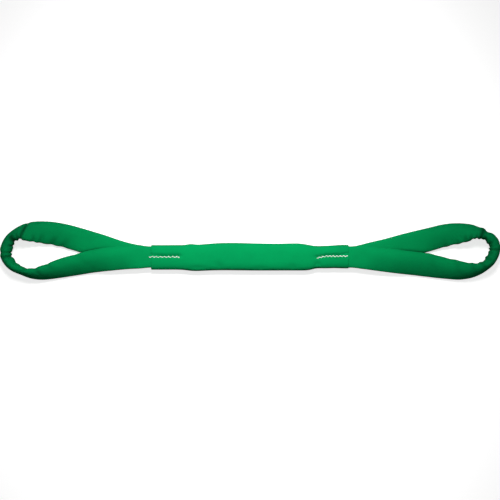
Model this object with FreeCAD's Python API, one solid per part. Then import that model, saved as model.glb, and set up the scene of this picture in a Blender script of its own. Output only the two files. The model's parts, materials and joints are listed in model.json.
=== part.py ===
"""Eye and eye round sling: an endless core of polyester yarn in a double-wall tubular jacket, whose two legs
are bound together over the middle by a sewn sleeve, which leaves a soft lifting eye at each end.

Millimetres.  X runs along the sling, Y across it and Z up; the sling lies on the plane Z = 0, and the origin
is on that plane, under the middle of its outline.  The sling is flexible, so it is divided at three places
where it folds: the middle of the sleeve and the neck of each eye.  At a fold one side ends in a knuckle, a
round face about the fold's axis, and the other side ends flat, one knuckle radius and a gap away.
"""
import FreeCAD
import Part
import os
from math import cos, degrees, radians, sin
from FreeCAD import Rotation, Vector

# ---- driving dimensions ----
MOUTH_X = {"left": -190.4, "right": 188.0}   # ends of the sleeve
NECK_X = 205.0                               # axis of each eye's fold, from the middle
BODY_Y = -12.0                               # centre line of the sleeve
TAG_THICK = 1.0                              # tag and its thread, between the sleeve and the ground
GAP = 0.2                                    # clearance between layers that lie on each other
FOLD_GAP = 0.3                               # clearance at a fold's knuckle
FOLD_TAIL = 4.0                              # an eye's length past its knuckle before it is trimmed
HALF_TAIL = 10.0                             # the same for the right half at the middle fold
CUTTER_REACH = 60.0                          # size of the block that trims a piece at its fold
CUTTER_SPAN = 400.0

JACKET_WALL = 1.0
LINER_WALL = 0.8
SLEEVE_WALL = 1.0
HEM_WALL = 0.8
HEM_DEPTH = 20.0

YARN_R = 2.1                                 # one turn of the core
YARN_PITCH = 4.35
YARN_TURNS = 8
PAIR_SLACK = 0.15                            # extra room between pairs of turns where they bunch
EYE_PARTS = 2                                # straight lengths of an eye between two of its stations
THREAD_CHANNEL = 1.25                        # gap in the middle of the core, which the seam passes through

LEG_A = 20.5                                 # half breadth and half thickness of a leg inside the sleeve
LEG_B = 5.1
LEG_GAP = 0.3
LINER_GAP = 0.35                             # jacket to liner

# ---- the sleeve, worked out from the legs inside it ----
STACK_B = 2 * LEG_B + LEG_GAP / 2            # half thickness of the two legs, one on the other
STITCHED_A = LEG_A + 2 * GAP + HEM_WALL + SLEEVE_WALL
STITCHED_B = STACK_B + 2 * GAP + HEM_WALL + SLEEVE_WALL
STITCHED_R = LEG_B + 2 * GAP + HEM_WALL + SLEEVE_WALL
RELAXED_A = 25.3
RELAXED_B = 13.5
RELAXED_R = 8.0
RELAXED_END = {"left": -120.0, "right": 104.0}
STITCHED_START = {"left": -131.0, "right": 126.0}
MID_Z = TAG_THICK + RELAXED_B                # fold axes and the middle of the sleeve
FRONT_Z = MID_Z + LEG_B + LEG_GAP / 2
BACK_Z = MID_Z - LEG_B - LEG_GAP / 2
FRONT_LIFT = FRONT_Z - LEG_B
BACK_LIFT = BACK_Z - LEG_B

# ---- seams and tag ----
STITCH_R = 0.5
STITCH_LENGTH = 4.6
STITCH_COUNT = 15
STITCH_SWAY = 1.1                            # half width of the zigzag
TAG_SIZE = (72.0, 34.0)
TAG_X = 62.0
TAG_BODY = 0.7
TAG_STITCH = (3.0, 0.8, TAG_THICK - TAG_BODY)
TAG_STITCH_PITCH = 5.0
TAG_MARGIN = 3.0
TAPE_WIDTH = 12.0
TAPE_WALL = 0.2
TAPE_GAP = 0.1                               # tape to yarn
TAPE_X = (45.0, 85.0)

# Stations along each eye, from the front leg's neck round the bearing point to the back leg's neck: the
# centre line's x and y, the leg's lift clear of the ground, its half breadth and half thickness, and the roll
# that turns its flat to face outwards, so that at 90 it stands on edge.
LEFT_EYE = [
    (-205, -12.0, FRONT_LIFT, LEG_A + 0.8, LEG_B, 0),
    (-235, -12.8, 14.4, 21.8, 5.1, 2),
    (-270, -16.0, 10.5, 22.0, 5.5, 8),
    (-305, -21.0, 2.0, 22.0, 5.7, 20),
    (-335, -27.4, 0, 21.0, 6.3, 25),
    (-360, -33.0, 0, 20.0, 7.0, 30),
    (-382, -38.8, 0, 19.0, 7.5, 42),
    (-401, -42.9, 0, 18.5, 8.0, 55),
    (-420, -43.6, 0, 18.0, 8.0, 72),
    (-438, -38.8, 0, 18.0, 8.2, 84),
    (-453, -30.4, 0, 17.6, 9.2, 90),
    (-462, -20.0, 0, 17.6, 10.0, 90),
    (-466.5, -8.0, 0, 17.6, 10.8, 90),
    (-466, 4.0, 0, 17.6, 11.0, 90),
    (-461, 15.5, 0, 17.6, 11.2, 90),
    (-452, 25.0, 0, 17.8, 11.0, 82),
    (-440, 31.5, 0, 18.5, 9.5, 60),
    (-424, 35.0, 0, 19.6, 8.0, 30),
    (-404, 35.6, 0, 20.4, 7.0, 10),
    (-380, 32.3, 0, 21.2, 6.5, 0),
    (-350, 25.9, 0, 21.7, 6.0, 0),
    (-320, 17.0, 0, 22.0, 5.5, 0),
    (-287, 6.8, 0, 22.0, 5.3, 0),
    (-256, -3.6, 1.3, 22.0, 5.1, 0),
    (-230, -10.0, 3.2, 21.8, 5.1, 0),
    (-205, -12.0, BACK_LIFT, LEG_A + 0.8, LEG_B, 0),
]
RIGHT_EYE = [
    (205, -12.0, FRONT_LIFT, LEG_A + 0.8, LEG_B, 0),
    (233, -14.6, 14.4, 21.8, 5.1, 2),
    (270, -19.2, 10.5, 22.4, 5.5, 8),
    (306, -23.7, 2.0, 22.8, 5.7, 18),
    (334, -27.0, 0, 22.6, 6.2, 16),
    (358, -31.0, 0, 21.4, 6.8, 16),
    (380, -35.0, 0, 19.8, 7.5, 21),
    (402, -37.9, 0, 19.3, 8.5, 31),
    (418, -38.3, 0, 18.3, 9.0, 45),
    (434, -35.6, 0, 17.8, 9.5, 62),
    (448, -29.0, 0, 17.8, 9.7, 78),
    (458.5, -19.5, 0, 17.6, 9.7, 90),
    (465, -8.5, 0, 17.6, 9.8, 90),
    (467, 3.0, 0, 17.6, 10.0, 90),
    (464, 13.5, 0, 17.6, 10.3, 90),
    (457, 22.8, 0, 17.6, 10.6, 90),
    (447, 29.6, 0, 17.8, 10.0, 80),
    (436, 33.6, 0, 18.2, 8.6, 68),
    (423, 35.2, 0, 18.4, 8.4, 48),
    (404, 33.8, 0, 19.8, 8.0, 25),
    (380, 30.3, 0, 20.5, 7.0, 8),
    (350, 23.3, 0, 21.3, 6.3, 0),
    (320, 15.5, 0, 22.0, 5.6, 0),
    (287, 7.0, 0, 22.0, 5.3, 0),
    (256, -1.6, 1.3, 22.0, 5.1, 0),
    (230, -7.8, 3.2, 21.8, 5.1, 0),
    (205, -12.0, BACK_LIFT, LEG_A + 0.8, LEG_B, 0),
]
EYES = {"left": LEFT_EYE, "right": RIGHT_EYE}
SIDE_SIGN = {"left": -1, "right": 1}


# ---- outlines, drawn flat about the origin ----
def stadium(a, b):
    """A closed outline of two straight sides and two half rounds, 2a broad and 2b thick."""
    return rounded_rectangle(a, b, b)


def rounded_rectangle(a, b, r):
    """A closed outline 2a by 2b with corner radius r; a corner radius of b makes it a stadium."""
    corners = [(1, 1, 0), (-1, 1, 90), (-1, -1, 180), (1, -1, 270)]
    arcs = []
    for sx, sy, start in corners:
        centre = Vector(sx * (a - r), sy * (b - r), 0)
        turns = [radians(start + q) for q in (0, 45, 90)]
        spots = [centre + Vector(r * cos(turn), r * sin(turn), 0) for turn in turns]
        arcs.append(Part.Arc(*spots).toShape())
    edges = []
    for arc, following in zip(arcs, arcs[1:] + arcs[:1]):
        edges.append(arc)
        here = arc.Vertexes[-1].Point
        there = following.Vertexes[0].Point
        if here.distanceToPoint(there) > 1e-6:
            edges.append(Part.makeLine(here, there))
    return Part.Wire(edges)


def circle(r):
    """A closed round outline."""
    return Part.Wire(Part.makeCircle(r))


def octagon(r):
    """A closed outline of eight sides inside a circle of radius r."""
    corners = [Vector(r * cos(radians(q)), r * sin(radians(q)), 0) for q in range(0, 361, 45)]
    return Part.makePolygon(corners)


# ---- straight pieces along X ----
def standing(outline, x, y, z):
    """An outline set across the sling at x, its breadth along Y and its thickness along Z."""
    outline.Placement = FreeCAD.Placement(
        Vector(x, y, z), Rotation(Vector(0, 1, 0), Vector(0, 0, 1), Vector(1, 0, 0), "ZXY"))
    return outline


def prism(outline, x0, x1, y, z):
    """An outline carried straight from x0 to x1."""
    return Part.Face(standing(outline, x0, y, z)).extrude(Vector(x1 - x0, 0, 0))


def tube(outer, inner, x0, x1, y, z):
    """The wall between two outlines, from x0 to x1."""
    return prism(outer, x0, x1, y, z).cut(prism(inner, x0, x1, y, z))


# ---- the eyes ----
def eye_frames(stations):
    """Frames along an eye, at each station and at the places that divide each stretch into EYE_PARTS.

    A frame is its centre, its breadth and thickness directions, and the leg's half sizes and roll there.
    The centre stands high enough for the rolled section to clear the ground by its lift.
    """
    points = [Vector(x, y, 0) for x, y, lift, a, b, roll in stations]
    marks = [0.0]
    for point, following in zip(points, points[1:]):
        marks.append(marks[-1] + point.distanceToPoint(following))
    line = Part.BSplineCurve()
    line.interpolate(Points=points, Parameters=marks)
    up = Vector(0, 0, 1)
    frames = []
    for step in range((len(stations) - 1) * EYE_PARTS + 1):
        n, part = divmod(step, EYE_PARTS)
        after = min(n + 1, len(stations) - 1)
        here, following = stations[n], stations[after]
        s = marks[n] + (marks[after] - marks[n]) * part / EYE_PARTS
        lift, a, b, roll = [v + (w - v) * part / EYE_PARTS for v, w in zip(here[2:], following[2:])]
        turn = radians(roll)
        along = line.tangent(s)[0]
        outward = along.cross(up) * (1 if stations[0][0] > 0 else -1)
        breadth = outward * cos(turn) - up * sin(turn)
        thickness = outward * sin(turn) + up * cos(turn)
        centre = line.value(s) + up * (lift + b + (a - b) * sin(turn))
        frames.append((centre, breadth, thickness, a, b, roll))
    return frames


def set_in_frame(outline, centre, breadth, thickness):
    """An outline drawn flat, set into a station's frame."""
    along = breadth.cross(thickness)
    outline.Placement = FreeCAD.Placement(centre, Rotation(breadth, thickness, along, "ZXY"))
    return outline


def eye_skin(frames, inset):
    """The solid of an eye's leg, drawn in from its outer surface by inset."""
    rings = [set_in_frame(stadium(a - inset, b - inset), centre, breadth, thickness)
             for centre, breadth, thickness, a, b, roll in frames]
    return Part.makeLoft(rings, True, True)


def yarn_place(turn, bunch):
    """Where a turn of the core lies in the leg's section.

    At bunch 0 the turns lie in one row.  As bunch goes to 90 degrees, neighbours pair up, one over the
    other, and the pairs close together, so that the row becomes a block two turns thick.
    """
    pair, member = divmod(turn, 2)
    steps = pair - (YARN_TURNS / 2 - 1) / 2
    side = -1 if steps < 0 else 1
    closed = YARN_PITCH + PAIR_SLACK
    spacing = closed + (2 * YARN_PITCH - closed) * cos(bunch)
    centre = steps * spacing + side * THREAD_CHANNEL / 2 * cos(bunch)
    lean = -1 if member == 0 else 1
    return centre + lean * YARN_PITCH / 2 * cos(bunch), lean * YARN_PITCH / 2 * sin(bunch)


def eye_yarn(frames, turn):
    """One turn of the core round an eye, in straight lengths from frame to frame."""
    rings = []
    for centre, breadth, thickness, a, b, roll in frames:
        u, v = yarn_place(turn, radians(roll))
        spot = centre + breadth * u + thickness * v
        rings.append(set_in_frame(octagon(YARN_R), spot, breadth, thickness))
    return Part.makeLoft(rings, True, True)


# ---- folds ----
def knuckle_cutter(axis_x, radius, side):
    """What a piece loses at a fold so that it ends in a round face about the fold's axis.

    The piece lies on the side of the axis that side points to, and runs past the axis by more than radius.
    """
    low = Vector(axis_x - CUTTER_REACH if side > 0 else axis_x, -CUTTER_SPAN / 2, MID_Z - CUTTER_SPAN / 2)
    block = Part.makeBox(CUTTER_REACH, CUTTER_SPAN, CUTTER_SPAN, low)
    pin = Part.makeCylinder(radius, 2 * CUTTER_SPAN, Vector(axis_x, -CUTTER_SPAN, MID_Z), Vector(0, 1, 0))
    return block.cut(pin)


EYE_KNUCKLE = STACK_B
SLEEVE_KNUCKLE = RELAXED_B
LEG_START = {side: sign * (NECK_X - EYE_KNUCKLE - FOLD_GAP) for side, sign in SIDE_SIGN.items()}
HALF_START = {"left": -SLEEVE_KNUCKLE - FOLD_GAP, "right": -SLEEVE_KNUCKLE - HALF_TAIL}


def finish_half(shape, side):
    """The right half ends in the middle fold's knuckle; the left half already ends flat."""
    if side == "right":
        shape = shape.cut(knuckle_cutter(0.0, SLEEVE_KNUCKLE, 1))
    return shape


# ---- parts of one half of the bound middle ----
def sleeve_skin(side, inset):
    """The sleeve's half drawn in by inset: loose over the middle, drawn narrow where it is sewn."""
    x_mid, x_loose = HALF_START[side], RELAXED_END[side]
    x_tight, x_mouth = STITCHED_START[side], MOUTH_X[side]
    loose = (RELAXED_A - inset, RELAXED_B - inset, RELAXED_R - inset)
    tight = (STITCHED_A - inset, STITCHED_B - inset, STITCHED_R - inset)
    middle = prism(rounded_rectangle(*loose), x_mid, x_loose, BODY_Y, MID_Z)
    taper = Part.makeLoft([standing(rounded_rectangle(*loose), x_loose, BODY_Y, MID_Z),
                           standing(rounded_rectangle(*tight), x_tight, BODY_Y, MID_Z)], True, True)
    end = prism(rounded_rectangle(*tight), x_tight, x_mouth, BODY_Y, MID_Z)
    return middle.fuse([taper, end])


def sleeve_half(side):
    """One half of the sleeve that binds the two legs."""
    return finish_half(sleeve_skin(side, 0).cut(sleeve_skin(side, SLEEVE_WALL)), side)


def mouth_hem(side):
    """The sleeve's end, folded back inside itself."""
    outer = [v + GAP + HEM_WALL for v in (LEG_A, STACK_B, LEG_B)]
    inner = [v + GAP for v in (LEG_A, STACK_B, LEG_B)]
    x0, x1 = MOUTH_X[side], MOUTH_X[side] - SIDE_SIGN[side] * HEM_DEPTH
    return tube(rounded_rectangle(*outer), rounded_rectangle(*inner), x0, x1, BODY_Y, MID_Z)


def leg_tube(side, z, inset, wall):
    """A jacket or liner of one leg, along one half of the sleeve."""
    outer = stadium(LEG_A - inset, LEG_B - inset)
    inner = stadium(LEG_A - inset - wall, LEG_B - inset - wall)
    return finish_half(tube(outer, inner, HALF_START[side], LEG_START[side], BODY_Y, z), side)


def half_yarn(side, turn):
    """One turn of the core along one half of the sleeve: once in the front leg and once in the back leg."""
    u, v = yarn_place(turn, 0.0)
    x0, x1 = HALF_START[side], LEG_START[side]
    runs = [prism(circle(YARN_R), x0, x1, BODY_Y + u, z + v) for z in (FRONT_Z, BACK_Z)]
    return Part.makeCompound([finish_half(run, side) for run in runs])


def splice_tapes():
    """Two bands that hold the turns of the core together, one each side of the yarn's joined ends."""
    breadth = YARN_PITCH * (YARN_TURNS - 1) / 2 + THREAD_CHANNEL / 2 + YARN_R + TAPE_GAP
    thickness = YARN_R + TAPE_GAP
    outer = stadium(breadth + TAPE_WALL, thickness + TAPE_WALL)
    inner = stadium(breadth, thickness)
    return Part.makeCompound([tube(outer, inner, x, x + TAPE_WIDTH, BODY_Y, BACK_Z) for x in TAPE_X])


# ---- seams and tag ----
def stitch(middle, heading):
    """One visible stitch: a short round-ended length of thread lying level, turned by heading degrees."""
    straight = STITCH_LENGTH - 2 * STITCH_R
    body = Part.makeCylinder(STITCH_R, straight, Vector(-straight / 2, 0, 0), Vector(1, 0, 0))
    ends = [Part.makeSphere(STITCH_R, Vector(x, 0, 0)) for x in (-straight / 2, straight / 2)]
    thread = body.fuse(ends).removeSplitter()
    thread.Placement = FreeCAD.Placement(middle, Rotation(Vector(0, 0, 1), heading))
    return thread


def end_stitching(side):
    """The zigzag seam through sleeve and jackets at one end of the sleeve, front and back."""
    x0, x1 = MOUTH_X[side], STITCHED_START[side]
    margin = 0.5 * STITCH_LENGTH * SIDE_SIGN[side]
    pitch = (x1 + margin - (x0 - margin)) / (STITCH_COUNT - 1)
    heading = degrees(2 * STITCH_SWAY / abs(pitch))
    stitches = []
    for n in range(STITCH_COUNT):
        x = x0 - margin + n * pitch
        for z in (MID_Z + STITCHED_B + STITCH_R, MID_Z - STITCHED_B - STITCH_R):
            stitches.append(stitch(Vector(x, BODY_Y, z), heading if n % 2 else -heading))
    return Part.makeCompound(stitches)


def identity_tag():
    """The blank tag sewn under the right half of the sleeve."""
    length, width = TAG_SIZE
    corner = Vector(TAG_X - length / 2, BODY_Y - width / 2, TAG_THICK - TAG_BODY)
    return Part.makeBox(length, width, TAG_BODY, corner)


def tag_stitching():
    """Stitches along the tag's four edges."""
    long_half, wide_half = TAG_SIZE[0] / 2 - TAG_MARGIN, TAG_SIZE[1] / 2 - TAG_MARGIN
    length, width, depth = TAG_STITCH
    stitches = []
    for run, other, swap in ((long_half, wide_half, False), (wide_half, long_half, True)):
        count = int((2 * run - TAG_STITCH_PITCH) / TAG_STITCH_PITCH)
        for n in range(count):
            s = (n - (count - 1) / 2) * TAG_STITCH_PITCH
            for t in (-other, other):
                sx, sy = (width, length) if swap else (length, width)
                x, y = (t, s) if swap else (s, t)
                low = Vector(TAG_X + x - sx / 2, BODY_Y + y - sy / 2, TAG_THICK - TAG_BODY - depth)
                stitches.append(Part.makeBox(sx, sy, depth, low))
    return Part.makeCompound(stitches)


# ---- the whole sling ----
def make_eye(side):
    """One eye: jacket, liner and the turns of the core, ending in the fold's knuckle."""
    sign = SIDE_SIGN[side]
    stations = EYES[side]
    first, last = stations[0], stations[-1]
    tail = (NECK_X - EYE_KNUCKLE - FOLD_TAIL) * sign
    stations = [(tail,) + first[1:]] + stations + [(tail,) + last[1:]]
    frames = eye_frames(stations)
    cutter = knuckle_cutter(sign * NECK_X, EYE_KNUCKLE, sign)
    liner_inset = JACKET_WALL + LINER_GAP
    liner = eye_skin(frames, liner_inset).cut(cutter)
    pieces = {
        f"{side}_eye_jacket": eye_skin(frames, 0).cut(cutter).cut(eye_skin(frames, JACKET_WALL)),
        f"{side}_eye_liner": liner.cut(eye_skin(frames, liner_inset + LINER_WALL)),
    }
    for turn in range(YARN_TURNS):
        pieces[f"{side}_eye_core_turn_{turn + 1}"] = eye_yarn(frames, turn).cut(cutter)
    return pieces


def make_half(side):
    """One half of the bound middle."""
    liner_inset = JACKET_WALL + LINER_GAP
    pieces = {
        f"{side}_half_sleeve": sleeve_half(side),
        f"{side}_mouth_hem": mouth_hem(side),
        f"{side}_end_stitching": end_stitching(side),
    }
    for leg, z in (("front", FRONT_Z), ("back", BACK_Z)):
        pieces[f"{side}_half_{leg}_leg_jacket"] = leg_tube(side, z, 0, JACKET_WALL)
        pieces[f"{side}_half_{leg}_leg_liner"] = leg_tube(side, z, liner_inset, LINER_WALL)
    for turn in range(YARN_TURNS):
        pieces[f"{side}_half_core_turn_{turn + 1}"] = half_yarn(side, turn)
    return pieces


def main():
    os.makedirs("parts", exist_ok=True)
    pieces = {
        "core_splice_tapes": splice_tapes(),
        "identity_tag": identity_tag(),
        "tag_stitching": tag_stitching(),
    }
    for side in ("left", "right"):
        pieces.update(make_half(side))
        pieces.update(make_eye(side))
    for name, shape in pieces.items():
        shape.exportStep(f"parts/{name}.step")
        print(name, len(shape.Solids), "solids", round(shape.Volume / 1000, 2), "cm3", shape.isValid())


main()
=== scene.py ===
"""Eye and eye round sling, laid out flat: a puffy woven polyester jacket over a yarn core.

A sleeve binds its two legs, and is sewn to them at each end with thick white thread.

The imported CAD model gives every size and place.  Lengths below are in millimetres until a mesh is made.
"""
import json

import bpy
import numpy as np
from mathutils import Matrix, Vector


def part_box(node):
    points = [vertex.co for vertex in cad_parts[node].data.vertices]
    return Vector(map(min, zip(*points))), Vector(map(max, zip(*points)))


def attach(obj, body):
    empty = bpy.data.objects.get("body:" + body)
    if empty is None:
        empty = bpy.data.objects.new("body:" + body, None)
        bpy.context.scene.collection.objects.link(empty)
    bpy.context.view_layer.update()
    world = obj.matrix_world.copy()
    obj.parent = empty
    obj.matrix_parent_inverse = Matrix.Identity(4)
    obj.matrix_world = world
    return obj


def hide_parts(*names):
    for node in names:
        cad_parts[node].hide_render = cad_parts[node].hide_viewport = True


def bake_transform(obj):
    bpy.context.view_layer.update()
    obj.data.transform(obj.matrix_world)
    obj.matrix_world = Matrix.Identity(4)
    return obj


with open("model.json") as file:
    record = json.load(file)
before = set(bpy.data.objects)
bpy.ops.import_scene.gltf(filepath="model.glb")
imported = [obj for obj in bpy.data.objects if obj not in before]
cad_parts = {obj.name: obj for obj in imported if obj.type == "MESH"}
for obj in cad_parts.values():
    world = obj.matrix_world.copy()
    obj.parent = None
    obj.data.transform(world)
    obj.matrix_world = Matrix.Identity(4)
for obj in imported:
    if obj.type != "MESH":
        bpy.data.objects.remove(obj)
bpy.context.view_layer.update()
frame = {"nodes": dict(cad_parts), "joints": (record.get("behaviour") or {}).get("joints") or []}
MM = 0.001

# ---- places and sizes from the frame ----
SIDES = {"left": -1, "right": 1}
HINGE = {joint["name"]: np.array(joint["pos_m"]) / MM for joint in frame["joints"]}
NECK_X = HINGE["right_eye_bend"][0]
BODY_Y = HINGE["sleeve_fold"][1]
MID_Z = HINGE["sleeve_fold"][2]
MOUTH_X = {"left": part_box("left_half_sleeve")[0][0] / MM, "right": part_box("right_half_sleeve")[1][0] / MM}
LEG_LOW, LEG_HIGH = [np.array(corner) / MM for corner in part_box("left_half_front_leg_jacket")]
LEG_A = (LEG_HIGH[1] - LEG_LOW[1]) / 2
LEG_B = (LEG_HIGH[2] - LEG_LOW[2]) / 2
FRONT_Z = (LEG_HIGH[2] + LEG_LOW[2]) / 2
BACK_Z = 2 * MID_Z - FRONT_Z
FRONT_LIFT = FRONT_Z - LEG_B
BACK_LIFT = BACK_Z - LEG_B
CLOTH = 1.0                      # thickness of the jacket and sleeve cloth
YARN_R = 2.1                     # one turn of the core, their pitch, and the gap the seam passes through
YARN_PITCH = 4.35
YARN_TURNS = 8
THREAD_CHANNEL = 1.25
CORE_SPLIT = 110.0               # where an eye's yarn takes over from the middle's
TUCK = 16.0                      # how far an eye's jacket runs on inside the sleeve, past its mouth
GROUND_GAP = 0.15                # the least height of a cover above the ground
LINING_OUT = 1.3                 # depths of a lining's two faces under the jacket's surface, in cloths
LINING_IN = 2.0

# ---- counts of points ----
RINGS = 300                      # along an eye
ROUND = 56                       # round a leg
SLEEVE_RINGS = 240
SLEEVE_ROUND = 96
LEG_RINGS = 160                  # along a leg inside the sleeve
CORE_RINGS = 80                  # along the core inside the sleeve
YARN_SIDES = 9
STITCH_SIDES = 8
STITCH_RINGS = 9

# ---- shape of a leg; ranges are distances from the sling's middle ----
TAIL_START = 12.0                # how far inside the neck an eye's tails run straight
SLACK = 0.9                      # how far a leg's edges stand out once it leaves the sleeve
SLACK_RANGE = (196, 216)
CROWN = 4.6                      # how far a slack leg's upper face stands proud of its flat section
FRONT_CLEAR = (212, 245)         # where each leg comes clear of the other
BACK_CLEAR = (322, 362)
# The shade painted on the back leg along the crease between the legs: where it fades in and out, its width
# and how dark it is.
CREASE_START = (258, 315)        # where the crease between the legs fades in and out
CREASE_END = (336, 350)
CREASE_WIDTH = 3.2
CREASE_SHADE = 0.9
RIDGE_WIDTH = 2.2                # the ridge beside a fold, in widths of its dent
LEG_TRIM = (0.5, 0.3)            # how much smaller than the CAD leg the jacket inside the sleeve is
LEG_POWER = 2.9
LEG_VALLEY = 3.0                 # the deepest that the seam pushes into a leg's jacket

# ---- shape of the sleeve and its seams ----
SEAM_SPAN = {"left": (-194.0, -135.0), "right": (126.0, 187.0)}
STITCH_PITCH = {"left": 3.9, "right": 3.3}
STITCH_LONG = 4.4
STITCH_R = 0.85
STITCH_ROW = 0.55                # half the distance between a seam's two rows
STITCH_SLOPE = 0.32
STITCH_PROUD = 0.35              # how far a stitch's centre line stands out from the cloth
GROOVE = 2.8
PUCKER = 7.8                     # from one pucker of the seam to the next
VALLEY_OFF = 1.8                 # the thread lies on the valley's near slope
SLEEVE_POWER = 2.7
SLEEVE_INSET = 0.8               # how far the sleeve's cut ends stop short of its mouths
HEMMED = 1.7 * CLOTH             # thickness of the sleeve's cloth at a hem
SEAM_DROP = (1.4, 3.4, 20.0)     # the right seam's height, how much lower it starts and over what length
# The sleeve from mouth to mouth: x, the reach of its edges to +Y and to -Y, and half its thickness.
# It is loose over the middle and narrow where it is sewn, with a small pucker where the two meet.
SLEEVE_TABLE = [
    (MOUTH_X["left"], 22.9, 24.4, 12.4),
    (-160, 22.9, 24.4, 12.2),
    (-140, 23.0, 24.4, 12.2),
    (-126, 23.5, 25.2, 12.6),
    (-114, 24.9, 26.6, 13.2),
    (-104, 24.1, 27.0, 13.4),
    (-92, 24.4, 26.6, 13.4),
    (-70, 26.2, 25.8, 13.4),
    (0, 26.4, 26.0, 13.4),
    (70, 25.9, 26.0, 13.4),
    (100, 25.3, 26.0, 13.3),
    (112, 23.2, 25.2, 12.9),
    (125, 21.3, 22.3, 12.2),
    (140, 21.4, 21.9, 12.0),
    (160, 22.4, 21.5, 12.0),
    (180, 23.4, 22.0, 12.2),
    (MOUTH_X["right"], 23.0, 22.0, 12.4),
]
# Soft dents along the sleeve: x, y, depth, and radii along and across.
DENTS = [
    (-60.0, -31.0, 1.6, 9.0, 7.0),
    (-66.0, -24.0, 0.8, 12.0, 5.0),
    (80.0, -31.0, 1.4, 8.0, 6.0),
    (-100.0, -32.0, 1.2, 14.0, 4.0),
    (128.0, -28.0, 2.0, 6.0, 7.0),
    (184.0, -6.0, 1.8, 4.0, 4.0),
    (-196.0, -8.0, 1.0, 8.0, 4.0),
    (20.0, -33.0, 0.8, 16.0, 4.0),
]

# ---- spans in millimetres either side of a joint, given to blend_over, which bends nothing ----
NECK_BLEND = (-14.0, 22.0)
FOLD_BLEND = 34.0

# Stations along each eye, from the front leg's neck round the bearing point to the back leg's neck, as in
# the CAD model: the centre line's x and y, the lift clear of the ground, half breadth, half thickness and
# roll.
LEFT_EYE = [
    (-205, -12.0, FRONT_LIFT, 21.3, 5.1, 0),
    (-235, -12.8, 14.4, 21.8, 5.1, 2),
    (-270, -16.0, 10.5, 22.0, 5.5, 8),
    (-305, -21.0, 2.0, 22.0, 5.7, 20),
    (-335, -27.4, 0, 21.0, 6.3, 25),
    (-360, -33.0, 0, 20.0, 7.0, 30),
    (-382, -38.8, 0, 19.0, 7.5, 42),
    (-401, -42.9, 0, 18.5, 8.0, 55),
    (-420, -43.6, 0, 18.0, 8.0, 72),
    (-438, -38.2, 0, 18.0, 8.0, 84),
    (-454, -30.2, 0, 17.6, 8.8, 90),
    (-463.0, -20.0, 0, 17.6, 10.2, 90),
    (-467.8, -8.0, 0, 17.6, 10.9, 90),
    (-467.3, 4.0, 0, 17.6, 11.2, 90),
    (-462.4, 16.4, 0, 17.6, 11.2, 90),
    (-454.2, 27.2, 0, 17.8, 10.2, 82),
    (-441.3, 33.5, 0, 18.5, 9.5, 60),
    (-424, 36.0, 0, 19.6, 8.0, 30),
    (-404, 35.6, 0, 20.4, 7.0, 10),
    (-380, 33.2, 0, 21.2, 6.5, 0),
    (-350, 27.0, 0, 21.7, 6.0, 0),
    (-320, 18.2, 0, 22.0, 5.5, 0),
    (-287, 8.2, 0, 22.0, 5.3, 0),
    (-256, -2.3, 1.3, 22.0, 5.1, 0),
    (-230, -9.0, 3.2, 21.8, 5.1, 0),
    (-205, -12.0, BACK_LIFT, 21.3, 5.1, 0),
]
RIGHT_EYE = [
    (205, -12.0, FRONT_LIFT, 21.3, 5.1, 0),
    (233, -14.6, 14.4, 21.8, 5.1, 2),
    (270, -19.2, 10.5, 22.4, 5.5, 8),
    (306, -23.7, 2.0, 22.8, 5.7, 18),
    (334, -27.0, 0, 22.6, 6.2, 16),
    (358, -31.0, 0, 21.4, 6.8, 16),
    (380, -35.0, 0, 19.8, 7.5, 21),
    (402, -37.9, 0, 19.3, 8.5, 31),
    (418, -38.3, 0, 18.3, 9.0, 45),
    (434, -35.6, 0, 17.8, 9.2, 62),
    (448, -29.2, 0, 17.8, 9.1, 78),
    (457.8, -20.2, 0, 17.6, 10.0, 90),
    (464.4, -8.7, 0, 17.6, 10.1, 90),
    (468.0, 4.5, 0, 17.6, 10.3, 90),
    (465.6, 15.2, 0, 17.6, 10.4, 90),
    (458.5, 24.0, 0, 17.6, 9.8, 90),
    (447.5, 30.6, 0, 17.8, 9.6, 80),
    (436, 34.4, 0, 18.2, 8.4, 68),
    (423, 35.6, 0, 18.4, 8.4, 48),
    (404, 33.8, 0, 19.8, 8.0, 25),
    (380, 30.8, 0, 20.5, 7.0, 8),
    (350, 23.3, 0, 21.3, 6.3, 0),
    (320, 15.5, 0, 22.0, 5.6, 0),
    (287, 7.0, 0, 22.0, 5.3, 0),
    (256, -1.2, 1.3, 22.0, 5.1, 0),
    (230, -7.0, 3.2, 21.8, 5.1, 0),
    (205, -12.0, BACK_LIFT, 21.3, 5.1, 0),
]
STATIONS = {"left": LEFT_EYE, "right": RIGHT_EYE}
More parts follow.
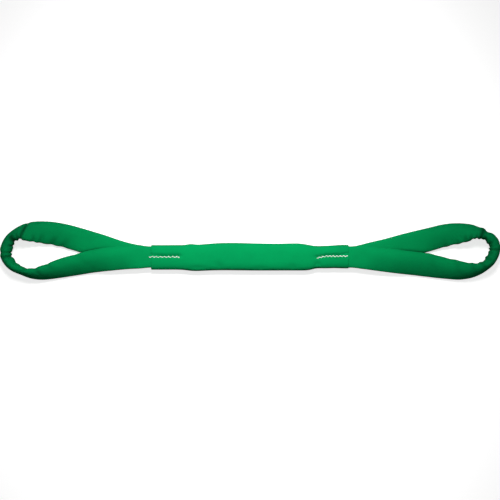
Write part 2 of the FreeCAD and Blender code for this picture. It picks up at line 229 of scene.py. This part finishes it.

# Folds of the slack jacket: x and y on the centre line nearest the fold, depth (negative for a bulge),
# width along the leg, reach from the inner edge (1 is the outer edge), slant from edge to edge, and how
# dark the shade painted along its bottom is.
FOLDS = {
    "left": [
        (-435.0, 35.0, 5.2, 4.0, 1.05, 8.5, 1.0),
        (-455.0, 25.0, 4.4, 7.0, 0.80, 3.0, 1.0),
        (-446.0, 31.2, 2.6, 2.8, 0.60, 2.0, 0.8),
        (-464.5, 11.0, 3.4, 3.0, 0.40, -3.0, 0.6),
        (-468.5, -3.5, 3.0, 2.6, 1.25, 0.0, 0.35),
        (-466.0, -12.5, 3.2, 3.0, 0.85, 2.0, 0.6),
        (-460.0, -24.0, -2.6, 6.5, 0.35, 0.0, 0.0),
        (-449.0, -33.5, -2.2, 7.0, 0.40, 0.0, 0.0),
        (-436.0, -39.0, 2.2, 4.0, 0.60, 6.0, 0.4),
        (-412.0, 36.4, 2.2, 5.0, 0.40, 4.0, 0.45),
        (-396.0, 35.8, 1.6, 5.5, 0.45, 6.0, 0.35),
        (-404.0, -42.3, 1.8, 5.0, 0.75, -6.0, 0.3),
        (-378.0, -37.6, 1.4, 6.0, 0.60, -8.0, 0.2),
        (-370.0, 31.2, 1.6, 6.0, 0.45, 10.0, 0.35),
        (-346.0, 26.0, 1.2, 7.0, 0.45, 10.0, 0.25),
        (-318.0, -23.6, 0.9, 9.0, 0.70, -12.0, 0.1),
    ],
    "right": [
        (441.5, 33.4, 5.0, 3.8, 1.05, -2.0, 1.0),
        (449.5, 29.6, 3.0, 3.6, 0.50, 0.0, 0.8),
        (450.0, 29.2, -3.0, 5.0, 1.30, 0.0, 0.0),
        (433.0, 34.6, 2.4, 3.0, 0.45, -3.0, 0.6),
        (461.0, 21.5, 2.2, 3.0, 0.45, 0.0, 0.4),
        (468.6, 3.0, 3.2, 2.6, 1.25, 1.0, 0.45),
        (467.0, -6.0, 1.8, 2.6, 0.40, 0.0, 0.3),
        (461.0, -17.0, 3.0, 3.6, 0.50, 3.0, 0.45),
        (447.0, -29.8, 2.2, 4.0, 0.60, 5.0, 0.35),
        (421.0, 35.6, 2.4, 4.0, 0.45, -4.0, 0.55),
        (406.0, 34.4, 2.2, 4.5, 0.45, 4.0, 0.5),
        (390.0, 32.6, 1.4, 5.0, 0.40, 6.0, 0.3),
        (426.0, -37.4, 1.6, 5.0, 0.50, 0.0, 0.25),
        (398.0, -37.4, 1.4, 7.0, 0.60, 8.0, 0.15),
        (366.0, 27.6, 1.4, 6.0, 0.45, 8.0, 0.25),
        (350.0, -29.6, 1.0, 8.0, 0.60, 10.0, 0.1),
    ],
}


# ---- curves and sections ----
def spline(marks, values, at):
    """Natural cubic spline through the rows of values, given at marks and read at the places in at.

    Its second derivatives m solve h0 m0 + 2 (h0 + h1) m1 + h1 m2 = 6 (slope1 - slope0), and are 0 at the
    ends.
    """
    marks, values = np.asarray(marks, float), np.asarray(values, float)
    steps = np.diff(marks)
    slopes = np.diff(values, axis=0) / steps[:, None]
    count = len(marks)
    inner = np.arange(1, count - 1)
    system = np.eye(count)
    system[inner, inner - 1] = steps[:-1]
    system[inner, inner] = 2 * (steps[:-1] + steps[1:])
    system[inner, inner + 1] = steps[1:]
    right = np.zeros_like(values)
    right[1:-1] = 6 * np.diff(slopes, axis=0)
    bend = np.linalg.solve(system, right)
    k = np.clip(np.searchsorted(marks, at) - 1, 0, count - 2)
    step, t, u = steps[k][:, None], (at - marks[k])[:, None], (marks[k + 1] - at)[:, None]
    return ((bend[k] * u ** 3 + bend[k + 1] * t ** 3) / (6 * step)
            + (values[k] / step - bend[k] * step / 6) * u
            + (values[k + 1] / step - bend[k + 1] * step / 6) * t)


def smoothstep(low, high, x):
    """0 below low, 1 above high, and 3 t^2 - 2 t^3 between them."""
    t = np.clip((x - low) / (high - low), 0, 1)
    return t * t * (3 - 2 * t)


def unit(vectors):
    """Vectors divided by their lengths."""
    return vectors / np.maximum(np.linalg.norm(vectors, axis=-1, keepdims=True), 1e-9)


def round_angles(count):
    """Angles round a flattened section, spread so that its points lie more evenly over edges and faces."""
    even = np.arange(count) / count * 2 * np.pi
    return even + 0.2 * np.sin(2 * even)


def section(angles, a, b, power):
    """Superellipse |u/a|^n + |v/b|^n = 1: u = a cos^(2/n) and v = b sin^(2/n), keeping their signs."""
    c, s = np.cos(angles), np.sin(angles)
    return a * np.sign(c) * np.abs(c) ** (2 / power), b * np.sign(s) * np.abs(s) ** (2 / power)


def grid_normals(points):
    """Unit normals of a grid of points that is open along its rows and closed along its columns."""
    down = np.gradient(points, axis=0)
    across = np.roll(points, -1, axis=1) - np.roll(points, 1, axis=1)
    return unit(np.cross(across, down))


# ---- meshes ----
def new_piece(name, mesh):
    """A smooth-shaded object at the origin."""
    mesh.shade_smooth()
    piece = bpy.data.objects.new(name, mesh)
    bpy.context.collection.objects.link(piece)
    return piece


def round_bars(name, points):
    """Closed bars in one piece, from a grid of bars, stations along each and points round each station."""
    count, stations, sides = points.shape[:3]
    index = np.arange(count * stations * sides).reshape(count, stations, sides)
    here, after = index[:, :-1], index[:, 1:]
    quads = np.stack([here, np.roll(here, -1, 2), np.roll(after, -1, 2), after], axis=-1).reshape(-1, 4)
    ends = np.concatenate([index[:, 0, ::-1], index[:, -1]])
    mesh = bpy.data.meshes.new(name)
    mesh.from_pydata((points.reshape(-1, 3) * MM).tolist(), [], quads.tolist() + ends.tolist())
    return new_piece(name, mesh)


def closed_shell(name, outer, inner, painted_crease_shade=None):
    """A cloth tube with real thickness: the outer surface, a turned lip, the inner surface and the other lip.

    The grid closes both ways, so the mesh has no open edge.  UV is in metres: U runs along the tube and back
    inside it, and V goes round it.
    The last argument, from 0 to 1, becomes a point attribute of painted shade: how far each point of the
    outer surface is darkened in folds, creases and seam valleys.
    """
    lip_end = (outer[-1] + inner[-1]) / 2 + (outer[-1] - outer[-2]) * 0.35
    lip_start = (outer[0] + inner[0]) / 2 + (outer[0] - outer[1]) * 0.35
    rings = np.concatenate([outer, lip_end[None], inner[::-1], lip_start[None]])
    rows, columns = rings.shape[:2]
    mesh = bpy.data.meshes.new(name)
    index = np.arange(rows * columns).reshape(rows, columns)
    below, beside = np.roll(index, -1, axis=0), np.roll(index, -1, axis=1)
    corner = np.roll(below, -1, axis=1)
    quads = np.stack([index, beside, corner, below], axis=-1).reshape(-1, 4)
    mesh.from_pydata((rings.reshape(-1, 3) * MM).tolist(), [], quads.tolist())
    along = np.concatenate([[0], np.cumsum(np.linalg.norm(np.diff(rings.mean(axis=1), axis=0), axis=1))])
    gap = np.linalg.norm(np.roll(rings, -1, axis=1) - rings, axis=2).mean(axis=0)
    round_it = np.concatenate([[0], np.cumsum(gap)])
    rows_at = np.append(along, along[-1])
    r, c = np.divmod(np.arange(rows * columns), columns)
    u = np.stack([rows_at[r], rows_at[r], rows_at[r + 1], rows_at[r + 1]], axis=-1)
    v = np.stack([round_it[c], round_it[c + 1], round_it[c + 1], round_it[c]], axis=-1)
    layer = mesh.uv_layers.new(name="cloth")
    layer.data.foreach_set("uv", (np.stack([u, v], axis=-1) * MM).ravel().astype(np.float32))
    # Painted shade, on the outer surface only.
    depth = np.zeros((rows, columns), np.float32)
    if painted_crease_shade is not None:
        depth[:len(outer)] = painted_crease_shade
    mesh.attributes.new("painted_crease_shade", "FLOAT", "POINT").data.foreach_set("value", depth.ravel())
    return new_piece(name, mesh)


# ---- the eyes ----
def eye_line(side, tail_x):
    """The centre line round an eye, with its tails inside the sleeve as far as tail_x, at RINGS places.

    Returns the distance along, the centre, the direction out of the eye, half breadth, half thickness and
    roll in radians.
    """
    sign = SIDES[side]
    stations = STATIONS[side]
    near_x = sign * (NECK_X - TAIL_START)
    head = [(tail_x, BODY_Y, FRONT_LIFT, LEG_A, LEG_B, 0), (near_x, BODY_Y, FRONT_LIFT, LEG_A, LEG_B, 0)]
    foot = [(near_x, BODY_Y, BACK_LIFT, LEG_A, LEG_B, 0), (tail_x, BODY_Y, BACK_LIFT, LEG_A, LEG_B, 0)]
    table = np.array(head + stations + foot, float)
    marks = np.concatenate([[0], np.cumsum(np.linalg.norm(np.diff(table[:, :2], axis=0), axis=1))])
    s = np.linspace(0, marks[-1], RINGS)
    xy = spline(marks, table[:, :2], s)
    lift, a, b, roll = [np.interp(s, marks, column) for column in table[:, 2:].T]
    kernel = np.exp(-np.linspace(-2, 2, 9) ** 2)
    kernel /= kernel.sum()
    lift, a, b, roll = [np.convolve(np.pad(column, 4, mode="edge"), kernel, mode="valid")
                        for column in (lift, a, b, roll)]
    along = unit(np.gradient(xy, axis=0))
    outward = sign * np.stack([along[:, 1], -along[:, 0], 0 * s], axis=1)
    a = a + SLACK * smoothstep(*SLACK_RANGE, np.abs(xy[:, 0])) * np.cos(np.radians(roll))
    turn = np.radians(roll)
    z = lift + b + (a - b) * np.sin(turn)
    centre = np.stack([xy[:, 0], xy[:, 1], z], axis=1)
    return s, centre, outward, a, b, turn


def across_leg(outward, turn):
    """The breadth and thickness directions of a leg whose flat is turned outwards by turn."""
    up = np.array([0, 0, 1.0])
    breadth = outward * np.cos(turn)[:, None] - up * np.sin(turn)[:, None]
    thickness = outward * np.sin(turn)[:, None] + up * np.cos(turn)[:, None]
    return breadth, thickness


def crossing_shade(points, centre, half_width, front):
    """How dark the crease between the legs makes the back leg: CREASE_SHADE exp(-(gap / CREASE_WIDTH)^2).

    The gap is taken from the front leg's inner edge, and the crease fades out either side of where the legs
    part.
    """
    from_middle = np.abs(points[..., 0])
    order = np.argsort(np.abs(centre[front, 0]))
    edge = (centre[front, 1] + half_width[front])[order]
    gap = points[..., 1] - np.interp(from_middle, np.abs(centre[front, 0])[order], edge)
    near = smoothstep(*CREASE_START, from_middle) * (1 - smoothstep(*CREASE_END, from_middle))
    return CREASE_SHADE * near * np.exp(-(gap / CREASE_WIDTH) ** 2) * (~front)[:, None]


def eye_surface(side):
    """The eye's jacket as a grid of points, each section's medial line, and the shade painted on each point
    in its folds and along the crease between the legs.

    A section is a superellipse in the plane across the leg, turned by the roll. Its upper face is crowned
    by CROWN (1 - n^2) (1 + 0.7 n) cos^2(roll) where it lies clear of the other leg, n being u / a towards
    +Y. Each fold pushes the surface along its normal by depth (rise exp(-(d / RIDGE_WIDTH)^2) - exp(-d^2)),
    d being the distance in widths, faded away from the inner edge; rise is greater where the cloth is free
    to lift. The core inside stops a dent at the room there is: it becomes room tanh(dent / room).
    """
    s, centre, outward, a, b, turn = eye_line(side, SIDES[side] * (abs(MOUTH_X[side]) - TUCK))
    breadth, thickness = across_leg(outward, turn)
    angles = round_angles(ROUND)
    fullness = 2.15 + 0.2 * np.cos(turn)[:, None]
    u, v = section(angles[None], a[:, None], b[:, None], fullness)
    from_middle = np.abs(centre[:, 0])
    front = s < s[-1] / 2
    clear = np.where(front, smoothstep(*FRONT_CLEAR, from_middle), smoothstep(*BACK_CLEAR, from_middle))
    north = np.sign(outward[:, 1])[:, None] * u / a[:, None]
    crown = CROWN * (clear * np.cos(turn) ** 2)[:, None] * (1 - north ** 2) * (1 + 0.7 * north) * (v > 0)
    points = centre[:, None] + breadth[:, None] * u[..., None] + thickness[:, None] * (v + crown)[..., None]
    swing = ((points - centre[:, None]) * outward[:, None]).sum(axis=-1)
    swing = swing / np.abs(swing).max(axis=1, keepdims=True)
    normals = grid_normals(points)
    rise = 0.35 + 0.4 * np.clip(normals[..., 2], 0, 1)
    shift, painted_crease_shade = np.zeros(points.shape[:2]), np.zeros(points.shape[:2])
    for x, y, depth, width, reach, slant, dark in FOLDS[side]:
        at = s[np.argmin(np.hypot(centre[:, 0] - x, centre[:, 1] - y))]
        distance = (s[:, None] - at - slant * swing) / width
        fade = 1 - smoothstep(reach - 0.3, reach + 0.1, (1 + swing) / 2)
        shift += depth * fade * (rise * np.exp(-(distance / RIDGE_WIDTH) ** 2) - np.exp(-distance ** 2))
        # Painted shade along the fold's bottom: dark exp(-(1.1 d)^2), faded like the fold.
        painted_crease_shade += dark * fade * np.exp(-(1.1 * distance) ** 2)
    room = 0.8 * np.maximum(b - 2.2 * CLOTH - YARN_R * (1 + np.sin(turn)), 0.5)[:, None]
    shift = np.where(shift < 0, room * np.tanh(shift / room), shift)
    points = points + normals * shift[..., None]
    points[..., 2] = np.maximum(points[..., 2], GROUND_GAP)
    # Painted shade on the back leg along the crease where the front leg lies over it.
    painted_crease_shade += crossing_shade(points, centre, a * np.cos(turn), front)
    flat = np.maximum(a - b, 0.5)[:, None]
    medial = centre[:, None] + breadth[:, None] * np.clip(u, -flat, flat)[..., None]
    return points, medial, np.clip(painted_crease_shade, 0, 1)


def inset(points, medial, depth):
    """Points moved by depth towards the medial line of their section."""
    return points - unit(points - medial) * depth


# ---- the sleeve ----
def sleeve_edges(x):
    """The reach of the sleeve's edges to +Y and to -Y, and half its thickness, at each x."""
    marks, *sizes = np.array(SLEEVE_TABLE).T
    return spline(marks, np.array(sizes).T, x).T


def seam_groove(x, y):
    """Depth of the valley that each seam pulls into the cloth, in puckers, fading out past its ends."""
    depth = 0
    for side, (start, end) in SEAM_SPAN.items():
        inside = smoothstep(start - 9, start + 4, x) * (1 - smoothstep(end - 4, end + 8, x))
        offset = y - seam_y(side, x) - VALLEY_OFF
        narrow = np.where(offset > 0, 3.6, 2.4)
        pucker = 1 + 0.16 * np.cos(2 * np.pi * (x - start) / PUCKER)
        depth = depth + GROOVE * inside * pucker * np.exp(-(offset / narrow) ** 2)
    return depth


def seam_y(side, x):
    """The seam's line: straight at the left, and at the right starting low and rising to run straight."""
    if side == "left":
        return BODY_Y + 0 * x
    start = SEAM_SPAN["right"][0]
    height, drop, length = SEAM_DROP
    return BODY_Y + height - drop * (1 - smoothstep(start, start + length, x))


def sleeve_surface(x, layer):
    """The sleeve at each x as a grid, layer millimetres inside its outer surface.

    Each section is a superellipse with its own upper and lower reach, whose top and bottom are pushed in by
    the seam's valley and by soft dents exp(-(dx / rx)^2 - (dy / ry)^2).
    """
    high, low, half = sleeve_edges(x)
    angles = round_angles(SLEEVE_ROUND)
    middle, reach = BODY_Y + (high - low) / 2, (high + low) / 2
    across, tall = section(angles[None], (reach - layer)[:, None], (half - layer)[:, None], SLEEVE_POWER)
    y = middle[:, None] + across
    x = x[:, None] + 0 * y
    push = seam_groove(x, y)
    for dent_x, dent_y, depth, along, side in DENTS:
        push = push + depth * np.exp(-((x - dent_x) / along) ** 2 - ((y - dent_y) / side) ** 2) * (tall > 0)
    toward_middle = np.minimum(np.abs(tall) * 0.6, push)
    return np.stack([x, y, MID_Z + tall - np.sign(tall) * toward_middle], axis=-1)


def make_sleeve():
    """The sleeve in one piece, as thick all along as it is at its turned-in hems."""
    x = np.linspace(MOUTH_X["left"] + SLEEVE_INSET, MOUTH_X["right"] - SLEEVE_INSET, SLEEVE_RINGS)
    outer = sleeve_surface(x, 0)
    middle = np.stack([outer[..., 0], BODY_Y + 0 * outer[..., 1], MID_Z + 0 * outer[..., 2]], axis=-1)
    inner = outer - unit(outer - middle) * HEMMED
    # Painted shade in the seams' valleys, darkest where a valley is deepest, kept as the sleeve's attribute.
    depth = np.clip(seam_groove(outer[..., 0], outer[..., 1]) / GROOVE - 0.35, 0, 1) * 0.55
    return closed_shell("body_sleeve", outer, inner, depth)


def leg_surface(x, z, layer):
    """One leg's jacket inside the sleeve, with the seam's valley on its outer face."""
    angles = round_angles(ROUND)
    half_breadth = LEG_A - LEG_TRIM[0] - layer + 0 * x[:, None]
    half_thickness = LEG_B - LEG_TRIM[1] - layer + 0 * x[:, None]
    across, tall = section(angles[None], half_breadth, half_thickness, LEG_POWER)
    y = BODY_Y + across
    x = x[:, None] + 0 * y
    outer_face = (tall > 0) if z > MID_Z else (tall < 0)
    push = np.minimum(seam_groove(x, y), LEG_VALLEY) * outer_face
    return np.stack([x, y, z + tall - np.sign(tall) * np.minimum(push, np.abs(tall) * 0.8)], axis=-1)


# ---- the core ----
def yarn_places(turn):
    """Breadth and thickness offsets of the core's turns, for each roll in turn.

    Flat, the turns lie in one row. As the leg rolls on edge, neighbours pair up, one over the other, and
    the pairs close together, so that the row becomes a block two turns thick.
    """
    number = np.arange(YARN_TURNS)
    steps = number // 2 - (YARN_TURNS / 2 - 1) / 2
    lean = number % 2 * 2.0 - 1
    flat, up = np.cos(turn)[:, None], np.sin(turn)[:, None]
    spacing = YARN_PITCH * (1 + flat)
    across = steps * spacing + np.sign(steps) * THREAD_CHANNEL / 2 * flat + lean * YARN_PITCH / 2 * flat
    return across, lean * YARN_PITCH / 2 * up


def yarn_bundle(name, centre, breadth, thickness, turn):
    """The core's turns as strands with a slow twist: radius r (1 + 0.06 cos(3 angle + 0.35 s))."""
    across, over = yarn_places(turn)
    lines = (centre[:, None] + breadth[:, None] * across[..., None] + thickness[:, None] * over[..., None])
    angle = np.arange(YARN_SIDES) / YARN_SIDES * 2 * np.pi
    s = np.concatenate([[0], np.cumsum(np.linalg.norm(np.diff(centre, axis=0), axis=1))])
    radius = 0.95 * YARN_R * (1 + 0.06 * np.cos(3 * angle[None] + 0.35 * s[:, None]))
    points = (lines[:, :, None] + breadth[:, None, None] * (radius * np.cos(angle))[:, None, :, None]
              + thickness[:, None, None] * (radius * np.sin(angle))[:, None, :, None])
    return round_bars(name, points.transpose(1, 0, 2, 3))


# ---- thread ----
def thread_piece(name, centres, directions, lengths, radius):
    """Stitches of plied thread, each a round bar along its direction that dives into the cloth at both ends.

    Along t in -1..1 the bar's height falls by t^4, and its radius is r sqrt(1 - t^6) with a ply's ripple.
    """
    t = np.linspace(-1, 1, STITCH_RINGS)
    angle = np.arange(STITCH_SIDES) / STITCH_SIDES * 2 * np.pi
    shape = radius * np.sqrt(np.maximum(1 - t ** 6, 0.02))
    ripple = 1 + 0.12 * np.cos(2 * angle[None] + 5 * t[:, None])
    up = np.array([0, 0, 1.0])
    side = unit(np.cross(np.broadcast_to(up, directions.shape), directions))
    sink = np.where(centres[:, 2] > MID_Z, -1.0, 1.0)
    line = (centres[:, None] + directions[:, None] * (t * 0.5)[None, :, None] * lengths[:, None, None]
            + up * (sink[:, None] * radius * 1.6 * t[None] ** 4)[..., None])
    ring = shape[:, None] * ripple
    points = (line[:, :, None] + side[:, None, None] * (ring * np.cos(angle))[None, ..., None]
              + up * (ring * np.sin(angle))[None, ..., None])
    return round_bars(name, points)


def seam_thread(side):
    """A seam of heavy white thread, front and back: slanted stitches one after another in two close rows."""
    start, end = SEAM_SPAN[side]
    x = np.arange(start + 2, end - 1.5, STITCH_PITCH[side])
    rows = np.arange(len(x)) % 2 * 2 - 1
    y = seam_y(side, x) + rows * STITCH_ROW
    top = MID_Z + sleeve_edges(x)[2] - seam_groove(x, y) + STITCH_PROUD
    past_mouth = np.abs(x) > abs(MOUTH_X[side]) - 1
    top = np.where(past_mouth, FRONT_Z + LEG_B + 0.2, top)
    centres = np.concatenate([np.stack([x, y, top], 1), np.stack([x, y, 2 * MID_Z - top], 1)])
    heading = unit(np.stack([np.ones_like(x), STITCH_SLOPE * rows, 0 * x], 1))
    return thread_piece(f"{side}_seam_thread", centres, np.concatenate([heading, heading]),
                        np.full(2 * len(x), STITCH_LONG), STITCH_R)


# ---- materials ----
class Maths:
    """A shader socket that takes part in Python expressions; each operation adds a Math node."""

    def __init__(self, tree, socket):
        self.tree, self.socket = tree, socket

    def math(self, operation, *values):
        """The result of a Math node."""
        node = self.tree.nodes.new("ShaderNodeMath")
        node.operation = operation
        for slot, value in zip(node.inputs, values):
            if isinstance(value, Maths):
                self.tree.links.new(value.socket, slot)
            else:
                slot.default_value = value
        return Maths(self.tree, node.outputs[0])

    def __add__(self, other):
        return self.math("ADD", self, other)

    __radd__ = __add__

    def __mul__(self, other):
        return self.math("MULTIPLY", self, other)

    __rmul__ = __mul__

    def __sub__(self, other):
        return self.math("SUBTRACT", self, other)

    def __rsub__(self, other):
        return self.math("SUBTRACT", other, self)

    def sine(self):
        return self.math("SINE", self)

    def size(self):
        return self.math("ABSOLUTE", self)


class Finish:
    """A material under construction: its node tree, and one method that adds any node."""

    def __init__(self, name):
        self.material = bpy.data.materials.new(name)
        self.material.use_nodes = True
        self.tree = self.material.node_tree
        self.shader = self.tree.nodes["Principled BSDF"]

    def add(self, kind, settings=None, out=0, **sockets):
        """Adds a node of that type and returns its output out, a name or a number.

        Its settings are made first.  Sockets are named with _ for a space.
        """
        node = self.tree.nodes.new(kind)
        for key, value in (settings or {}).items():
            setattr(node, key, value)
        for key, value in sockets.items():
            self.feed(node.inputs[key.replace("_", " ")], value)
        return Maths(self.tree, node.outputs[out])

    def feed(self, slot, value):
        """Links a socket to the slot, or sets the slot to a plain value."""
        if isinstance(value, Maths):
            self.tree.links.new(value.socket, slot)
        else:
            slot.default_value = value

    def set(self, **values):
        """Values or links for the shader's own sockets."""
        for key, value in values.items():
            self.feed(self.shader.inputs[key.replace("_", " ")], value)
        return self.material

    def blend_colours(self, factor, first, second):
        """The first colour where factor is 0 and the second where it is 1."""
        return self.add("ShaderNodeMix", {"data_type": "RGBA"}, out="Result",
                        Factor=factor, A=first, B=second)


# How dark the painted shade at the bottom of a fold, crease or seam valley is, against the cloth's darker
# colour.
PAINTED_SHADE_DARKNESS = 0.24                 # the bottom of a fold against the cloth's darker colour


def woven(name, colour, dark, pitch=0.9 * MM, roughness=0.82, on_uv=True):
    """Plain-woven polyester: warp and weft ribs, fine and broad changes of tone, and painted shade in folds,
    creases and seam valleys.
    """
    finish = Finish(name)
    place = finish.add("ShaderNodeTexCoord", out="UV" if on_uv else "Object")
    u = finish.add("ShaderNodeSeparateXYZ", out="X", Vector=place)
    v = finish.add("ShaderNodeSeparateXYZ", out="Y", Vector=place)
    warp = (v * (2 * np.pi / pitch)).sine()
    weft = (u * (2 * np.pi / pitch)).sine()
    rib = (warp * weft).size() * 0.6 + (warp + weft) * 0.2
    spot = finish.add("ShaderNodeTexCoord", out="Object")
    broad = finish.add("ShaderNodeTexNoise", Vector=spot, Scale=22.0, Detail=3.0)
    fine = finish.add("ShaderNodeTexNoise", Vector=spot, Scale=420.0, Detail=2.0)
    shade = broad * 0.55 + fine * 0.25 + rib * 0.12
    cloth = finish.blend_colours(shade, dark, colour)
    # Painted shade: the cloth is blended towards a near-black green where the attribute says a point lies in
    # a fold, crease or seam valley.
    painted_crease_shade = finish.add("ShaderNodeAttribute", {"attribute_name": "painted_crease_shade"}, out="Fac")
    deepest = tuple(PAINTED_SHADE_DARKNESS * channel for channel in dark[:3]) + (1,)
    base = finish.blend_colours(painted_crease_shade * 0.92, cloth, deepest)
    bump = finish.add("ShaderNodeBump", Strength=0.35, Distance=0.25 * MM, Height=rib + fine * 0.6)
    return finish.set(Base_Color=base, Roughness=roughness + broad * 0.08, Normal=bump,
                      Specular_IOR_Level=0.04, Sheen_Weight=0.03, Sheen_Roughness=0.5,
                      Sheen_Tint=(0.1, 1.0, 0.5, 1.0))


def thread_finish(name, colour, shadow):
    """Twisted bonded thread: fine waves across it, uneven whiteness and a soft gloss."""
    finish = Finish(name)
    spot = finish.add("ShaderNodeTexCoord", out="Object")
    wave = finish.add("ShaderNodeTexWave", Vector=spot, Scale=900.0, Distortion=2.0)
    grime = finish.add("ShaderNodeTexNoise", Vector=spot, Scale=140.0, Detail=3.0)
    bump = finish.add("ShaderNodeBump", Strength=0.4, Distance=0.1 * MM, Height=wave)
    return finish.set(Base_Color=finish.blend_colours(grime, shadow, colour), Roughness=0.6 + grime * 0.15,
                      Normal=bump, Specular_IOR_Level=0.35)


def tag_finish(name):
    """Blank coated label stock, slightly scuffed."""
    finish = Finish(name)
    spot = finish.add("ShaderNodeTexCoord", out="Object")
    scuff = finish.add("ShaderNodeTexNoise", Vector=spot, Scale=90.0, Detail=6.0)
    bump = finish.add("ShaderNodeBump", Strength=0.25, Distance=0.15 * MM, Height=scuff)
    return finish.set(Base_Color=finish.blend_colours(scuff, (0.6, 0.63, 0.62, 1), (0.8, 0.82, 0.81, 1)),
                      Roughness=0.42 + scuff * 0.2, Normal=bump)


JACKET = woven("jacket_weave", (0.0, 0.355, 0.098, 1), (0.0, 0.235, 0.070, 1))
LINER = woven("liner_weave", (0.0, 0.24, 0.07, 1), (0.0, 0.15, 0.045, 1), on_uv=False)
YARN = thread_finish("core_yarn_finish", (0.85, 0.84, 0.78, 1), (0.66, 0.65, 0.6, 1))
THREAD = thread_finish("seam_thread_finish", (0.93, 0.95, 0.93, 1), (0.72, 0.78, 0.74, 1))
TAPE = woven("binding_tape_weave", (0.74, 0.73, 0.68, 1), (0.6, 0.59, 0.54, 1), on_uv=False)
TAG = tag_finish("tag_stock")


def finish_with(piece, material):
    """Puts the material on a new piece."""
    piece.data.materials.clear()
    piece.data.materials.append(material)


# ---- build ----
def blend_over(piece, parent, child, start_x, end_x):
    """Bakes the piece's placement into its mesh; it does not bend the piece."""
    start, end = [(x * MM, BODY_Y * MM, MID_Z * MM) for x in (start_x, end_x)]
    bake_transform(piece)


for side, sign in SIDES.items():
    points, medial, painted_crease_shade = eye_surface(side)
    cover = closed_shell(f"{side}_eye_cover", points, inset(points, medial, CLOTH), painted_crease_shade)
    finish_with(cover, JACKET)
    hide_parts(f"{side}_eye_jacket")
    lining = closed_shell(f"{side}_eye_lining", inset(points, medial, LINING_OUT * CLOTH),
                          inset(points, medial, LINING_IN * CLOTH))
    finish_with(lining, LINER)
    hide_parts(f"{side}_eye_liner")
    s, centre, outward, a, b, turn = eye_line(side, sign * CORE_SPLIT)
    core = yarn_bundle(f"{side}_eye_core", centre, *across_leg(outward, turn), turn)
    finish_with(core, YARN)
    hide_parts(*[f"{side}_eye_core_turn_{n + 1}" for n in range(YARN_TURNS)])
    for piece in (cover, lining, core):
        blend_over(piece, f"{side}_half", f"{side}_eye", *[sign * (NECK_X + reach) for reach in NECK_BLEND])
    thread = seam_thread(side)
    finish_with(thread, THREAD)
    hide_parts(f"{side}_end_stitching")
    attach(thread, f"{side}_half")

sleeve = make_sleeve()
finish_with(sleeve, JACKET)
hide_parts("left_half_sleeve", "right_half_sleeve", "left_mouth_hem", "right_mouth_hem")
legs = []
# Each leg's bundle stands for the core turns of one half of the CAD model.
for leg, z, half in (("front", FRONT_Z, "left"), ("back", BACK_Z, "right")):
    x = np.linspace(-CORE_SPLIT, CORE_SPLIT, CORE_RINGS)
    centre = np.stack([x, BODY_Y + 0 * x, z + 0 * x], axis=-1)
    outward = np.broadcast_to([0, 1.0, 0], centre.shape)
    core = yarn_bundle(f"{leg}_leg_core", centre, *across_leg(outward, 0 * x), 0 * x)
    finish_with(core, YARN)
    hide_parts(*[f"{half}_half_core_turn_{n + 1}" for n in range(YARN_TURNS)])
    x = np.linspace(MOUTH_X["left"] + TUCK + 0.5, MOUTH_X["right"] - TUCK - 0.5, LEG_RINGS)
    lining = closed_shell(f"{leg}_leg_lining", leg_surface(x, z, LINING_OUT * CLOTH),
                          leg_surface(x, z, LINING_IN * CLOTH))
    finish_with(lining, LINER)
    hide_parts(f"left_half_{leg}_leg_liner", f"right_half_{leg}_leg_liner")
    cover = closed_shell(f"{leg}_leg_middle", leg_surface(x, z, 0), leg_surface(x, z, CLOTH))
    finish_with(cover, JACKET)
    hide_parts(f"left_half_{leg}_leg_jacket", f"right_half_{leg}_leg_jacket")
    legs += [core, lining, cover]
for piece in [sleeve] + legs:
    blend_over(piece, "left_half", "right_half", -FOLD_BLEND, FOLD_BLEND)

for name, material in {"core_splice_tapes": TAPE, "identity_tag": TAG, "tag_stitching": THREAD}.items():
    for place in frame["nodes"][name].material_slots:
        place.material = material


# ---- floor, light and camera ----
def make_floor():
    """A flat pale ground that shines a little itself, and doesn't light the sling."""
    mesh = bpy.data.meshes.new("floor")
    mesh.from_pydata([(-4, -4, 0), (4, -4, 0), (4, 4, 0), (-4, 4, 0)], [], [(0, 1, 2, 3)])
    floor = bpy.data.objects.new("floor", mesh)
    bpy.context.collection.objects.link(floor)
    finish = Finish("pale_floor")
    mesh.materials.append(finish.set(Base_Color=(0.8, 0.8, 0.8, 1), Roughness=0.9, Specular_IOR_Level=0.1,
                                     Emission_Color=(1, 1, 1, 1), Emission_Strength=0.75))
    floor.visible_diffuse = False
    floor.visible_glossy = False


def soft_light(name, place, aim, size, power, spread):
    """A square softbox aimed at a point; a narrow spread in degrees makes its light fall off sideways."""
    data = bpy.data.lights.new(name, "AREA")
    data.shape = "SQUARE"
    data.size = size
    data.energy = power
    data.spread = np.radians(spread)
    light = bpy.data.objects.new(name, data)
    bpy.context.collection.objects.link(light)
    light.location = place
    light.rotation_euler = (Vector(aim) - Vector(place)).to_track_quat("-Z", "Y").to_euler()


make_floor()
soft_light("key_softbox", (-0.02, 0.85, 1.45), (-0.02, 0.0, 0), 0.5, 2.6, 43)
soft_light("fill_softbox", (0.0, -0.9, 1.9), (0, 0, 0), 1.2, 0.5, 180)
world = bpy.data.worlds.new("studio")
bpy.context.scene.world = world
world.use_nodes = True
world.node_tree.nodes["Background"].inputs["Color"].default_value = (1, 1, 1, 1)
world.node_tree.nodes["Background"].inputs["Strength"].default_value = 0.08
bpy.context.scene.view_settings.view_transform = "Standard"

VIEW_WIDTH = 0.9580              # metres across the view, at the sling's middle height
LENS = 110.0
SENSOR = 36.0
camera_data = bpy.data.cameras.new("camera")
camera_data.lens = LENS
camera_data.sensor_width = SENSOR
camera = bpy.data.objects.new("camera", camera_data)
bpy.context.collection.objects.link(camera)
camera.location = (-0.001, 0.0013, MID_Z * MM + VIEW_WIDTH * LENS / SENSOR)
bpy.context.scene.camera = camera
